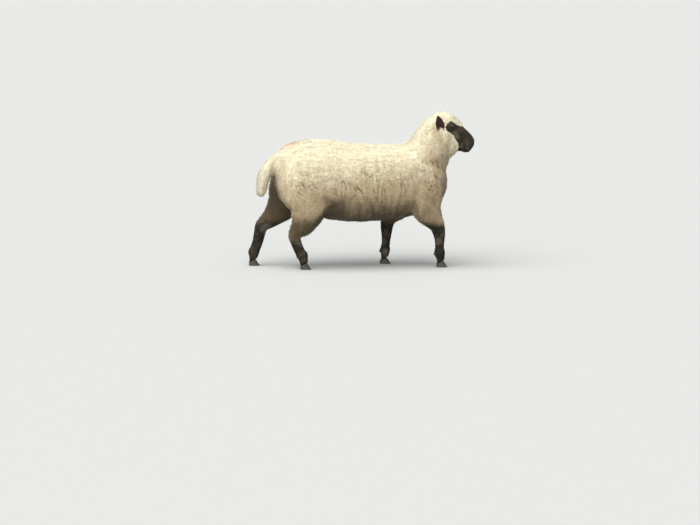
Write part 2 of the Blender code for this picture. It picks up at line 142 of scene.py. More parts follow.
# ---------------- the ewe's own axes
# The head is turned a little to her right and its face slopes down. Its axes run along
# to the nose, across to her left and up from the brow, from a point between the eyes.
FACE_SLOPE = math.radians(35)
EYES_AHEAD = -0.002
EYES_ABOVE = 0.040
SIDES = {"right": -1, "left": 1}
eye_centres = {side: sum(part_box(f"eye_{side}"), Vector()) / 2 for side in SIDES}
head_across = (eye_centres["left"] - eye_centres["right"]).normalized()
level = head_across.cross(Vector((0, 0, 1)))
head_along = level * math.cos(FACE_SLOPE) - Vector((0, 0, 1)) * math.sin(FACE_SLOPE)
head_up = head_along.cross(head_across)
head_centre = (eye_centres["left"] + eye_centres["right"]) / 2
head_centre -= head_along * EYES_AHEAD + head_up * EYES_ABOVE
head_axes = np.array([head_along, head_across, head_up])


def in_head(places):
    """Places in the head's own axes: along, across, up."""
    return (places - np.array(head_centre)) @ head_axes.T


def way_in_head(ways):
    """Directions given in the head's own axes, turned into the ewe's."""
    return np.asarray(ways) @ head_axes


def from_head(places):
    return way_in_head(places) + np.array(head_centre)


# ---------------- skin
# One closed hide over the whole body, the legs and ears, under the wool by the fleece's
# depth and just under the short hair of the face. The finest mesh is on the face.
SKIN_VOXEL = 0.0028
SWELL = 0.0006
SEAM = 1e-5
OUTLINE_ROUNDS = 8
FLESH_WORDS = ("trunk", "neck", "head", "tail", "leg", "ear")
flesh_nodes = [name for name in sorted(frame["nodes"]) if name.split("_")[0] in FLESH_WORDS]


def work_in(obj):
    """Works the object's modifiers into its mesh."""
    bpy.context.view_layer.update()
    evaluated = obj.evaluated_get(bpy.context.evaluated_depsgraph_get())
    obj.data = bpy.data.meshes.new_from_object(evaluated)
    obj.modifiers.clear()


def vectors_in(items, kind):
    values = np.empty(len(items) * 3, np.float32)
    items.foreach_get(kind, values)
    return values.reshape(-1, 3).astype(float)


def places_of(mesh):
    return vectors_in(mesh.vertices, "co")


def normals_of(mesh):
    return vectors_in(mesh.vertex_normals, "vector")


def tree_of(mesh):
    """The mesh's faces, ready to be asked which is nearest."""
    return BVHTree.FromPolygons([v.co for v in mesh.vertices], [list(f.vertices) for f in mesh.polygons])


def unit(vectors):
    return vectors / np.maximum(np.linalg.norm(vectors, axis=-1, keepdims=True), 1e-9)


def put_places(mesh, places):
    mesh.vertices.foreach_set("co", places.astype(np.float32).ravel())
    mesh.update()


def eased(mesh, values, rounds, share=0.5):
    """Values on the mesh's points, drawn towards their neighbours' mean a few times."""
    ends = np.empty(len(mesh.edges) * 2, np.int32)
    mesh.edges.foreach_get("vertices", ends)
    a, b = ends.reshape(-1, 2).T
    count = len(mesh.vertices)
    neighbours = np.maximum(np.bincount(a, minlength=count) + np.bincount(b, minlength=count), 1)
    columns = np.array(values, float).reshape(count, -1)
    for _ in range(rounds):
        for k in range(columns.shape[1]):
            column = columns[:, k]
            total = np.bincount(a, column[b], count) + np.bincount(b, column[a], count)
            columns[:, k] += (total / neighbours - column) * share
    return columns.reshape(np.shape(values))


def mesh_from(work, name):
    made = bpy.data.meshes.new(name)
    work.to_mesh(made)
    work.free()
    return made


def joined_solid(name):
    """A CAD body's mesh, its seams closed, to be worked on."""
    work = bmesh.new()
    work.from_mesh(frame["nodes"][name].data)
    bmesh.ops.remove_doubles(work, verts=work.verts, dist=SEAM)
    return work


def remeshed(obj, size):
    """The object's mesh made anew as one skin of small even faces."""
    anew = obj.modifiers.new("anew", "REMESH")
    anew.mode = "VOXEL"
    anew.voxel_size = size
    work_in(obj)


swollen = bmesh.new()
for name in flesh_nodes + [f"eye_{side}" for side in SIDES]:
    piece = joined_solid(name)
    piece.normal_update()
    for v in piece.verts:
        v.co += v.normal * SWELL
    loose = mesh_from(piece, "loose")
    swollen.from_mesh(loose)
    bpy.data.meshes.remove(loose)
skin = new_object("skin", mesh_from(swollen, "skin"))
remeshed(skin, SKIN_VOXEL)

# Which piece of flesh each place on the skin belongs to.
flesh_places, flesh_faces, flesh_owner = [], [], []
for number, name in enumerate(flesh_nodes):
    mesh = frame["nodes"][name].data
    first = len(flesh_places)
    flesh_places += [v.co.copy() for v in mesh.vertices]
    flesh_faces += [[first + k for k in face.vertices] for face in mesh.polygons]
    flesh_owner += [number] * len(mesh.polygons)
flesh_tree = BVHTree.FromPolygons(flesh_places, flesh_faces)
flesh_owner = np.array(flesh_owner)
EAR_SKIN = 0.003
ear_numbers = [number for number, name in enumerate(flesh_nodes) if name.startswith("ear")]
body_faces = np.flatnonzero(~np.isin(flesh_owner, ear_numbers))
body_tree = BVHTree.FromPolygons(flesh_places, [flesh_faces[k] for k in body_faces])


def flesh_at(places):
    """The number of the flesh piece nearest each place; the buried root of an ear is none."""
    owner = np.empty(len(places), int)
    for number, place in enumerate(places):
        face, apart = flesh_tree.find_nearest(Vector(place))[2:]
        if apart > EAR_SKIN and flesh_owner[face] in ear_numbers:
            face = body_faces[body_tree.find_nearest(Vector(place))[2]]
        owner[number] = flesh_owner[face]
    return owner


# Smoothed, the skin loses the solids' facets; it is now where the coat's tips end.
put_places(skin.data, eased(skin.data, places_of(skin.data), OUTLINE_ROUNDS))
owner = flesh_at(places_of(skin.data))
coat_tree = tree_of(skin.data)

# ---------------- where wool gives way to hair
# Wool covers the trunk, neck and tail, the poll, cheeks and throat, and the legs down to
# a ragged line; the face, ears and lower legs have short dark hair and the udder is bare.
FACE_OUTLINE = [
    # along, up in the head's axes, in mm: behind the eye, down the cheek wool, round the chin
    (-31, 54), (-31, 14), (-13, 4), (34, 3), (58, -12), (81, -20), (96, -37), (108, -63),
    (112, -100), (220, -100), (220, 110), (46, 110), (40, 67), (23, 60), (-22, 60),
]
WOOL_ENDS = {
    # leg: heights between which the wool thins out
    "leg_hind_right": (0.125, 0.235),
    "leg_hind_left": (0.225, 0.300),
    "leg_fore_right": (0.225, 0.275),
    "leg_fore_left": (0.220, 0.262),
}
UDDER_PLACE = (-0.285, 0.0, 0.250)
UDDER_SHAPE = (0.8, 1, 1)
UDDER_REACH = 0.070


def from_run(points, start, end):
    """How far points lie from a straight run, and at what share of it."""
    span = end - start
    offset = points - start
    share = np.clip(offset @ span / max(span @ span, 1e-12), 0, 1)
    return np.linalg.norm(offset - share[:, None] * span, axis=1), share


def outline_distance(points, outline):
    """Distance of flat points from a closed outline, less than nothing inside it."""
    nearest = np.full(len(points), np.inf)
    inside = np.zeros(len(points), bool)
    corners = np.array(outline) / 1000
    for a, b in zip(corners, np.roll(corners, -1, axis=0)):
        nearest = np.minimum(nearest, from_run(points, a, b)[0])
        crosses = (a[1] > points[:, 1]) != (b[1] > points[:, 1])
        rise = 1 if b[1] == a[1] else b[1] - a[1]
        inside ^= crosses & (points[:, 0] < a[0] + (points[:, 1] - a[1]) / rise * (b[0] - a[0]))
    return np.where(inside, -nearest, nearest)


def ramp(values, low, high):
    """0 below low, 1 above high, with soft ends."""
    share = np.clip((values - low) / (high - low), 0, 1)
    return share * share * (3 - 2 * share)


def from_udder(places):
    return np.linalg.norm((places - UDDER_PLACE) * UDDER_SHAPE, axis=1)


def woolliness(places, owner):
    """1 in full fleece, 0 in short hair or on bare skin."""
    wool = np.ones(len(places))
    for number, name in enumerate(flesh_nodes):
        own = owner == number
        if name.startswith("ear"):
            wool[own] = 0
        elif name == "head":
            flat = in_head(places[own])[:, [0, 2]]
            wool[own] = ramp(outline_distance(flat, FACE_OUTLINE), -0.002, 0.004)
        elif name in WOOL_ENDS:
            wool[own] = ramp(places[own, 2], *WOOL_ENDS[name])
    return wool * ramp(from_udder(places), UDDER_REACH, UDDER_REACH + 0.03)


# ---------------- skin under the coat
# The hide is drawn in from the coat's tips by the depth of wool or hair there, in small
# steps that keep it smooth.
WOOL_DEPTH = {"head": 0.008, "tail": 0.010, "neck": 0.010, "trunk": 0.010}
LEG_WOOL_DEPTH = 0.009
HAIR_DEPTH = {"head": 0.0014, "ear": 0.0009}
LEG_HAIR_DEPTH = 0.0032
SINK_STEPS = 6
HEAD_EDGE_ROUNDS = 12
BODY_EDGE_ROUNDS = 90
wool = woolliness(places_of(skin.data), owner)
kinds = [name.split("_")[0] for name in flesh_nodes]
wool_depth = np.array([WOOL_DEPTH.get(kind, LEG_WOOL_DEPTH) for kind in kinds])[owner]
hair_depth = np.array([HAIR_DEPTH.get(kind, LEG_HAIR_DEPTH) for kind in kinds])[owner]
depth = hair_depth + (wool_depth - hair_depth) * wool
on_head = np.isin(np.array(kinds)[owner], ("head", "ear"))
depth = np.where(
    on_head, eased(skin.data, depth, HEAD_EDGE_ROUNDS), eased(skin.data, depth, BODY_EDGE_ROUNDS),
)
depth = eased(skin.data, depth, 6)
soft = ramp(depth, 0.001, 0.010)[:, None]
for _ in range(SINK_STEPS):
    sunk = places_of(skin.data) - normals_of(skin.data) * (depth / SINK_STEPS)[:, None]
    put_places(skin.data, sunk)
    put_places(skin.data, sunk + (eased(skin.data, sunk, 3) - sunk) * soft)

# The udder is soft and round.
BAG_ROUNDS = 24
places = places_of(skin.data)
bag = 1 - ramp(from_udder(places), UDDER_REACH - 0.005, UDDER_REACH + 0.02)
put_places(skin.data, places + (eased(skin.data, places, BAG_ROUNDS) - places) * bag[:, None])

# Under wool the mesh can be coarse; the face, ears, udder and lower legs keep theirs.
FREEDOM = {"head": 0.03, "ear": 0.003, "leg": 0.3}
BAG_FREEDOM = 0.05
BODY_SHARE = 0.13
freedom = skin.vertex_groups.new(name="freedom")
free = np.array([FREEDOM.get(kind, 1.0) for kind in kinds])[owner]
free[bag > 0.1] = BAG_FREEDOM
for weight in set(free):
    freedom.add(np.flatnonzero(free == weight).tolist(), float(weight), "REPLACE")
thin = skin.modifiers.new("thin", "DECIMATE")
thin.ratio = BODY_SHARE
thin.vertex_group = "freedom"
work_in(skin)
skin.vertex_groups.clear()

# ---------------- face
# The bare face carries what the wool hides elsewhere: lids close on the eyeball, slit
# nostrils, a split upper lip, the mouth, the cheek's edge and the gland before the eye.
EYE_RADIUS = (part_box("eye_left")[1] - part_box("eye_left")[0]).z / 2
EYE_OUT = Vector((0.26, 0.95, 0.16)).normalized()
EYE_SLIT = Vector((0.96, -0.26, 0.06))
SLIT_HALF = 0.0128
LID_RISE = 0.0074
LID_DROP = 0.0056
LID_THICKNESS = 0.0013
BALL_CLEAR = 0.0022
LID_SPREAD = 0.0085
FEATURES = [
    # what, depth (less than nothing stands out), half width, places: along, across, up; in mm
    ("upper lid fold", 1.3, 1.3, [(13, 50, 45), (4, 60, 54), (-10, 60, 52), (-18, 60, 42)]),
    ("lower lid fold", 0.9, 1.4, [(13, 50, 29), (2, 60, 26), (-10, 60, 29)]),
    ("lower lid crease", 0.6, 1.2, [(18, 50, 24), (6, 60, 19), (-8, 60, 21)]),
    ("tear gland", 2.6, 1.8, [(17, 50, 31), (26, 50, 25), (31, 50, 18)]),
    ("cheek edge", -2.2, 5, [(6, 60, 12), (40, 60, 4), (75, 50, 0)]),
    ("under the cheek edge", 1.8, 6, [(50, 60, -10), (80, 50, -8), (104, 50, -6)]),
    ("nose bone", -1.2, 4.5, [(40, 22, 70), (80, 19, 70), (118, 16, 65)]),
    ("beside the nose", 1.6, 6, [(46, 40, 40), (85, 36, 35), (118, 32, 28)]),
    ("nostril wing", -2.4, 3.4, [(170, 13, 19), (162, 20, 29), (150, 26, 29), (141, 30, 21)]),
    ("nostril", 7, 1.7, [(175, 7, 4), (172, 14, 12), (163, 21, 19), (151, 27, 19)]),
    ("below the nostril", -1, 3, [(172, 14, 1), (164, 23, 7), (153, 30, 9)]),
    ("split lip", 3, 1.3, [(180, 0, 14), (180, 0, 0), (178, 0, -18)]),
    ("mouth", 4.2, 1.4, [(107, 45, -34), (122, 45, -33), (140, 36, -28), (155, 24, -26), (166, 11, -24),
        (170, 0, -23)]),
    ("upper lip edge", -1.4, 2.6, [(118, 45, -28), (138, 37, -22), (155, 26, -20), (168, 12, -18)]),
    ("lower lip edge", -0.9, 2.4, [(124, 45, -39), (142, 35, -34), (156, 22, -32), (166, 0, -30)]),
    ("chin crease", 1.4, 2.8, [(118, 40, -46), (140, 30, -46), (156, 14, -44), (160, 0, -43)]),
    ("mouth corner fold", 1.2, 1.8, [(103, 45, -26), (106, 45, -40), (111, 45, -50)]),
]


def split_where(mesh, chosen):
    """Halves every edge that has both ends chosen."""
    work = bmesh.new()
    work.from_mesh(mesh)
    work.verts.ensure_lookup_table()
    edges = [e for e in work.edges if chosen[e.verts[0].index] and chosen[e.verts[1].index]]
    bmesh.ops.subdivide_edges(work, edges=edges, cuts=1, use_grid_fill=True)
    bmesh.ops.triangulate(work, faces=[f for f in work.faces if len(f.verts) > 4])
    work.to_mesh(mesh)
    work.free()


def near_eyes(local, reach):
    ball = (EYES_AHEAD, (eye_centres["left"] - eye_centres["right"]).length / 2, EYES_ABOVE)
    return np.linalg.norm(np.abs(local) * (0, 1, 0) + local * (1, 0, 1) - ball, axis=1) < reach


def bare_face(local, margin):
    flat = outline_distance(local[:, [0, 2]], FACE_OUTLINE)
    return (flat < margin) & (local[:, 0] > -0.06) & (local[:, 0] < 0.25)


split_where(skin.data, bare_face(in_head(places_of(skin.data)), 0.010))
split = places_of(skin.data)
on_face = bare_face(in_head(split), 0.008)[:, None]
put_places(skin.data, np.where(on_face, eased(skin.data, split, 3), split))
split_where(skin.data, near_eyes(in_head(places_of(skin.data)), 0.024))
local = in_head(places_of(skin.data))
split_where(skin.data, (np.abs(local - (0.180, 0, 0)) < (0.040, 0.05, 0.036)).all(1))

# Each feature's line is laid on the skin, then the skin near it moves in or out.
places = places_of(skin.data)
normals = eased(skin.data, normals_of(skin.data), 4)
face = np.flatnonzero(bare_face(in_head(places), 0.02) | near_eyes(in_head(places), 0.03))
skin_tree = tree_of(skin.data)
shift = np.zeros(len(face))
for what, deep, half, path in FEATURES:
    nearest = np.full(len(face), np.inf)
    fade = np.ones(len(face))
    for side in SIDES.values():
        line = [Vector(from_head(np.array((a, side * c, u)) / 1000)) for a, c, u in path]
        line = np.array([skin_tree.find_nearest(place)[0] for place in line])
        for number, (start, end) in enumerate(zip(line, line[1:])):
            apart, share = from_run(places[face], start, end)
            run = (number + share) / (len(line) - 1)
            closed_end = path[-1][1] == 0
            ends = np.minimum(run, 1) if closed_end else np.minimum(run, 1 - run)
            fade = np.where(apart < nearest, ramp(ends, -0.05, 0.30), fade)
            nearest = np.minimum(nearest, apart)
    shift -= deep / 1000 * fade * np.exp(-((nearest / (half / 1000)) ** 2))
places[face] += normals[face] * shift[:, None]

# The lids: outside the slit the skin wraps the eyeball, inside it drops behind the ball.
for side_name, side in SIDES.items():
    ball = np.array(eye_centres[side_name])
    mirror = np.array((1, side, 1))
    out, along_slit = (way_in_head(np.array(v) * mirror) for v in (EYE_OUT, EYE_SLIT))
    along_slit = unit(along_slit - out * (along_slit @ out))
    above_slit = np.cross(along_slit, out) * side
    offset = places - ball
    apart = np.linalg.norm(offset, axis=1)
    near = np.flatnonzero((apart < 0.030) & (offset @ out > 0))
    offset, apart = offset[near], apart[near]
    level_share = np.clip((offset @ along_slit) / SLIT_HALF, -1.6, 1.6)
    height = offset @ above_slit
    opening = np.clip(1 - level_share**2, 0, 1) ** 0.8
    rim = np.where(height > 0, LID_RISE, LID_DROP) * opening
    beyond = np.maximum(np.abs(height) - rim, (np.abs(level_share) - 1) * SLIT_HALF)
    lid = EYE_RADIUS + LID_THICKNESS * (1 + 0.5 * np.exp(-((beyond / 0.0014) ** 2)))
    back = 1 - ramp(beyond, -0.0012, 0.0)
    wrap = 1 - ramp(beyond, 0.001, LID_SPREAD)
    radius = np.maximum(apart + (lid - apart) * wrap, EYE_RADIUS + LID_THICKNESS)
    radius -= (radius - EYE_RADIUS + BALL_CLEAR) * back
    places[near] = ball + offset * (radius / apart)[:, None]
put_places(skin.data, places)
skin.data.shade_smooth()

# ---------------- lie of the coat
# The coat runs back and down the body, down the legs, out along the ears and back from
# the nose, and the cap's wool comes forward over the brow. The skin's points carry it.
FLOW = {
    "trunk": Vector((-0.72, 0, -0.69)), "neck": Vector((-0.72, 0, -0.69)),
    "tail": Vector((-0.30, 0, -0.95)), "leg": Vector((-0.15, 0, -0.99)),
}
places = places_of(skin.data)
owner = flesh_at(places)
room = np.array([coat_tree.find_nearest(Vector(p))[3] for p in places])
owner_kind = np.array(kinds)[owner]
wool = woolliness(places, owner)
outward = unit(eased(skin.data, normals_of(skin.data), 3))
local = in_head(places)
flow = np.array([FLOW.get(kind, -head_along) for kind in owner_kind])
cap = ramp(local[:, 2], 0.030, 0.050) * ramp(local[:, 0], -0.075, -0.020)
cheek_flow = -0.55 * np.array(head_along) - 0.80 * np.array(head_up)
head_flow = cheek_flow + (np.array(head_along) - cheek_flow) * cap[:, None]
woolly_head = (owner_kind == "head") & (wool > 0.3)
flow[woolly_head] = head_flow[woolly_head]
EAR_CLEARING = (0.022, 0.045)
near_ear = np.ones(len(places))
for side_name in SIDES:
    ear = places_of(frame["nodes"][f"ear_{side_name}"].data)
    from_middle = np.linalg.norm(ear - np.array(head_centre), axis=1)
    ear_root = ear[from_middle.argmin()]
    ear_run = ear[from_middle.argmax()] - ear_root
    at_root = np.linalg.norm(places - ear_root, axis=1)
    near_ear = np.minimum(near_ear, ramp(at_root, *EAR_CLEARING))
    flow[owner == flesh_nodes.index(f"ear_{side_name}")] = unit(ear_run)


def along_skin(ways):
    return ways - outward * (ways * outward).sum(1)[:, None]


lie = unit(along_skin(eased(skin.data, along_skin(flow), 10)))

# Dirt gathers low down and where wool rubs, and painted shade darkens the belly, the lower
# flank, the throat and the undersides; partings open in the fleece where the body bends:
# upright on the ribs, slanting on the shoulder and thigh.
THROAT = [(0.435, 0.740), (0.435, 0.660), (0.462, 0.540), (0.460, 0.450)]
x, y, z = places.T


def from_path(path):
    """How far each point of the skin lies from a path along and up, seen from the side."""
    nearest = np.full(len(places), np.inf)
    for start, end in zip(np.array(path), np.array(path)[1:]):
        nearest = np.minimum(nearest, from_run(places[:, [0, 2]], start, end)[0])
    return nearest


# Painted shade darkens the insides of the legs, the lower flank, the belly, the throat, the body a
# little below the back, and what faces down; the legs low down take dirt and painted shade, and the back
# of the thighs below the tail is darkened too.
down = np.clip(-outward[:, 2], 0, 1)
inner = np.clip(-outward[:, 1] * np.sign(y), 0, 1) * ramp(0.55 - z, 0, 0.1)
flank = 0.40 * ramp(-z, -0.585, -0.425)
flank *= (1 - 0.55 * ramp(-x, 0.16, 0.26)) * (1 - 0.4 * ramp(x, 0.27, 0.36))
belly = eased(skin.data, (owner_kind == "trunk").astype(float), 12)
belly *= 0.48 * ramp(-z, -0.44, -0.33) * ramp(-x, -0.26, -0.16)
low = 0.62 * ramp(-z, -0.36, -0.19)
low += 0.34 * ramp(-z, -0.44, -0.22) * ramp(-x, 0.10, 0.20)
breech = 0.6 * ramp(-outward[:, 0], 0.2, 0.6) * ramp(-x, 0.455, 0.485) * ramp(-z, -0.64, -0.56)
breech *= owner_kind != "tail"
throat = 0.42 * np.exp(-((from_path(THROAT) / 0.075) ** 2))
throat *= ramp(-outward[:, 2], -0.65, -0.05) * np.where(owner_kind == "head", 0.3, 1.0)
high = 0.045 * ramp(-z, -0.68, -0.56)
under = 0.35 * down * ramp(-z, -0.62, -0.45)
grime = np.clip(high + flank + belly + low + breech + throat + under + 0.7 * inner, 0, 1)
grime *= np.where(owner_kind == "tail", 0.1, 1.0)
grime = eased(skin.data, grime, 12)
right_or_left = np.abs(outward[:, 1])
PARTED_PLACES = {
    # name: middle along and up, reach along and up
    "ribs": (0.03, 0.470, 0.20, 0.085),
    "shoulder": (0.40, 0.53, 0.085, 0.16),
    "thigh": (-0.33, 0.485, 0.09, 0.06),
    "breast": (0.38, 0.44, 0.045, 0.08),
}
PARTED_MUCH = 1.35
ribs, shoulder, thigh, breast = (
    np.exp(-(((x - along) / long) ** 2) - ((z - up) / high_up) ** 2)
    for along, up, long, high_up in PARTED_PLACES.values()
)
partings = np.stack([ribs, shoulder, np.maximum(thigh, breast)], axis=1)
partings *= PARTED_MUCH * right_or_left[:, None]
# Painted shade in the body's folds: in front of the thighs, behind the elbows and down the front of the
# neck.
SHADED_FOLDS = [
    # half width, darkness, places along and up, on both sides
    (0.015, 0.90, [(-0.265, 0.285), (-0.215, 0.345), (-0.175, 0.378), (-0.130, 0.384)]),
    (0.034, 0.80, [(-0.220, 0.285), (-0.175, 0.345), (-0.125, 0.365)]),
    (0.014, 0.90, [(0.222, 0.425), (0.205, 0.360), (0.182, 0.305)]),
    (0.011, 0.50, [(0.430, 0.655), (0.486, 0.572), (0.497, 0.498)]),
]
fold = np.zeros(len(places))
for half, dark, path in SHADED_FOLDS:
    fold_shade = dark * np.exp(-((from_path(path) / half) ** 2)) * ramp(right_or_left, 0.05, 0.3)
    fold = np.maximum(fold, fold_shade)

EAR_FACING = (0.46, 0.88, -0.10)
ear_hollow = np.zeros(len(places))
for side_name, side in SIDES.items():
    own = owner == flesh_nodes.index(f"ear_{side_name}")
    facing = way_in_head(np.array(EAR_FACING) * (1, side, 1))
    ear_hollow[own] = ramp(outward[own] @ facing, 0.35, 0.85)
bare = 1 - ramp(from_udder(places), UDDER_REACH - 0.01, UDDER_REACH + 0.02)


def give(mesh, name, values):
    """Stores values on the mesh's points, one number or one vector each."""
    vector = np.ndim(values) == 2
    layer = mesh.attributes.new(name, "FLOAT_VECTOR" if vector else "FLOAT", "POINT")
    layer.data.foreach_set("vector" if vector else "value", np.asarray(values, np.float32).ravel())


for name, values in {
    "outward": outward, "lie": lie, "wool": wool, "grime": grime, "partings": partings,
    "fold": fold, "ear_hollow": ear_hollow, "bare": bare,
}.items():
    give(skin.data, name, values)

# The skin is unwrapped by its own shape, and every lock's colours sit at its root's place.
TUFT_PATCH = 0.003
skin.data.uv_layers.new(name="OFBake")
bpy.context.view_layer.objects.active = skin
skin.select_set(True)
bpy.ops.object.mode_set(mode="EDIT")
bpy.ops.mesh.select_all(action="SELECT")
bpy.ops.uv.smart_project(angle_limit=math.radians(66), island_margin=0.002)
bpy.ops.object.mode_set(mode="OBJECT")
unwrap = np.empty(len(skin.data.loops) * 2, np.float32)
skin.data.uv_layers["OFBake"].uv.foreach_get("vector", unwrap)
root_place = skin.data.attributes.new("root_place", "FLOAT_VECTOR", "CORNER")
root_place.data.foreach_set("vector", np.pad(unwrap.reshape(-1, 2), ((0, 0), (0, 1))).ravel())

# ---------------- locks of wool and tufts of hair
# Down wool grows in small curled locks that lie close together, and short hair in small
# flat pointed tufts. Each is one unit long and wide; the tree below sizes it.
WISP_KINDS = [
    # bend towards the lie, wave in that plane, wave across it: in widths
    (1.7, 0.30, 0.50),
    (2.6, -0.20, -0.80),
    (1.3, 0.50, 0.90),
    (3.0, 0.20, -0.40),
    (2.2, -0.40, 0.60),
]
TUFT_KINDS = [(0.8, 0.0, 0.0), (1.4, 0.0, 0.5), (1.2, 0.0, -0.5)]
WISP_RINGS = [(0.36, 1.0), (0.80, 0.85)]
TUFT_RINGS = [(0.30, 1.0)]
WAVE = 2.2


def lock(name, rings, sides, flatness, bend, wave, sway):
    """A closed spindle, one unit long; rings are shares of its length and its width."""

    def middle(share):
        turn = share * math.pi * WAVE
        return bend * share**2 + wave * math.sin(turn), sway * math.sin(turn * 0.8)

    points, faces = [(0, 0, 0)], []
    for share, girth in rings:
        x_shift, y_shift = middle(share)
        for k in range(sides):
            turn = math.tau * k / sides
            across = 0.5 * girth * math.sin(turn)
            thick = 0.5 * girth * math.cos(turn) * flatness
            points.append((x_shift + thick, y_shift + across, share))
    points.append((*middle(1), 1))
    tip = len(points) - 1
    for k in range(sides):
        after = (k + 1) % sides
        faces.append((0, 1 + after, 1 + k))
        for first in range(1, tip - sides, sides):
            faces.append((first + k, first + after, first + sides + after, first + sides + k))
        faces.append((tip - sides + k, tip - sides + after, tip))
    mesh = bpy.data.meshes.new(name)
    mesh.from_pydata(points, [], faces)
    give(mesh, "along", [p[2] for p in points])
    give(mesh, "strand", [(p[0] - middle(p[2])[0], p[1] - middle(p[2])[1], p[2]) for p in points])
    patch = mesh.attributes.new("patch", "FLOAT_VECTOR", "CORNER")
    for loop, place in zip(mesh.loops, patch.data):
        corner = loop.vertex_index
        place.vector = (((corner - 1) % sides) / sides, points[corner][2], 0)
    return bpy.data.objects.new(name, mesh)


def lock_box(name, kinds_of_lock, rings, sides, flatness):
    box = bpy.data.collections.new(name)
    for number, shape in enumerate(kinds_of_lock):
        box.objects.link(lock(f"{name}_{number}", rings, sides, flatness, *shape))
    return box


wisps = lock_box("wisps", WISP_KINDS, WISP_RINGS, 3, 1.0)
tufts = lock_box("tufts", TUFT_KINDS, TUFT_RINGS, 3, 0.45)


def connect(tree, value, socket):
    """Links a node or an output to the socket, or sets the socket to a plain value."""
    if isinstance(value, bpy.types.Node):
        value = next(s for s in value.outputs if s.enabled)
    if isinstance(value, bpy.types.NodeSocket):
        tree.links.new(value, socket)
    else:
        socket.default_value = value


def add(tree, kind, inputs=(), **settings):
    """Adds a node; each input's name or number comes with its value or the output to link."""
    made = tree.nodes.new(kind)
    for setting, value in settings.items():
        setattr(made, setting, value)
    for key, value in dict(inputs).items():
        named = (s for s in made.inputs if s.name == key and s.enabled)
        connect(tree, value, made.inputs[key] if isinstance(key, int) else next(named))
    return made


def total(tree, operation, *values):
    return add(tree, "ShaderNodeMath", enumerate(values), operation=operation)


def times(tree, first, second):
    return total(tree, "MULTIPLY", first, second)


def vector_total(tree, operation, *values):
    return add(tree, "ShaderNodeVectorMath", enumerate(values), operation=operation)


def noise(tree, place, scale, detail=3.0):
    return add(tree, "ShaderNodeTexNoise", {"Vector": place, "Scale": scale, "Detail": detail})


def wandering(tree, place, scale, detail):
    """A vector for each place that changes smoothly and at random."""
    colour = noise(tree, place, scale, detail).outputs["Color"]
    return vector_total(tree, "SUBTRACT", colour, (0.5, 0.5, 0.5))


def mapped(tree, value, low, high, start=0.0, end=1.0, shape="LINEAR"):
    sockets = {"Value": value, "From Min": low, "From Max": high, "To Min": start, "To Max": end}
    return add(tree, "ShaderNodeMapRange", sockets, interpolation_type=shape)


# The tree that grows a coat: it scatters roots on the skin inside a box, leans a lock
# from each, shortens those in a parting, and turns all to plain mesh.
coat = bpy.data.node_groups.new("coat", "GeometryNodeTree")
COAT_INPUTS = {
    "Geometry": ["Skin"], "Collection": ["Locks"], "Vector": ["Low", "High"],
    "Float": ["Spacing", "Waver", "Width", "Length", "Staple", "Gather"], "Int": ["Seed"],
    "Material": ["Finish"],
}
for kind, names in COAT_INPUTS.items():
    for name in names:
        coat.interface.new_socket(name, in_out="INPUT", socket_type=f"NodeSocket{kind}")
coat.interface.new_socket("Coat", in_out="OUTPUT", socket_type="NodeSocketGeometry")
given = add(coat, "NodeGroupInput").outputs


def carried(name, kind="FLOAT"):
    return add(coat, "GeometryNodeInputNamedAttribute", {"Name": name}, data_type=kind)


def carried_vector(name):
    return carried(name, "FLOAT_VECTOR")


def vector_sum(operation, *values):
    return vector_total(coat, operation, *values)


def scaled(vector, factor):
    made = vector_sum("SCALE", vector)
    connect(coat, factor, made.inputs["Scale"])
    return made


def random_value(seed, least, most, kind="FLOAT"):
    limits = {"Min": least, "Max": most, "Seed": seed}
    return add(coat, "FunctionNodeRandomValue", limits, data_type=kind)


def stored(geometry, name, value, kind, domain):
    sockets = {"Geometry": geometry, "Name": name, "Value": value}
    store = "GeometryNodeStoreNamedAttribute"
    return add(coat, store, sockets, data_type=kind, domain=domain)


where = add(coat, "GeometryNodeInputPosition")
above = vector_sum("SUBTRACT", where, given["High"])
below = vector_sum("SUBTRACT", given["Low"], where)
past = add(coat, "ShaderNodeSeparateXYZ", {0: vector_sum("MAXIMUM", above, below)}).outputs
most = total(coat, "MAXIMUM", total(coat, "MAXIMUM", past[0], past[1]), past[2])
in_box = total(coat, "LESS_THAN", most, 0.0)
grows = total(coat, "GREATER_THAN", carried("cover"), 0.02)
roots = add(
    coat,
    "GeometryNodeDistributePointsOnFaces",
    {
        "Mesh": given["Skin"], "Selection": times(coat, in_box, grows),
        "Distance Min": given["Spacing"],
        "Density Max": total(coat, "DIVIDE", 1.7, total(coat, "POWER", given["Spacing"], 2.0)),
        "Density Factor": carried("cover"), "Seed": given["Seed"],
    },
    distribute_method="POISSON",
)

PARTINGS = [
    # slant in degrees, cell along the body, across it and down it, waviness
    (4, 0.023, 0.30, 0.150, 0.45),
    (34, 0.018, 0.20, 0.130, 0.40),
    (58, 0.020, 0.20, 0.060, 0.80),
]
PARTING_HALF = 0.10
PARTING_BREAKS = 21.0


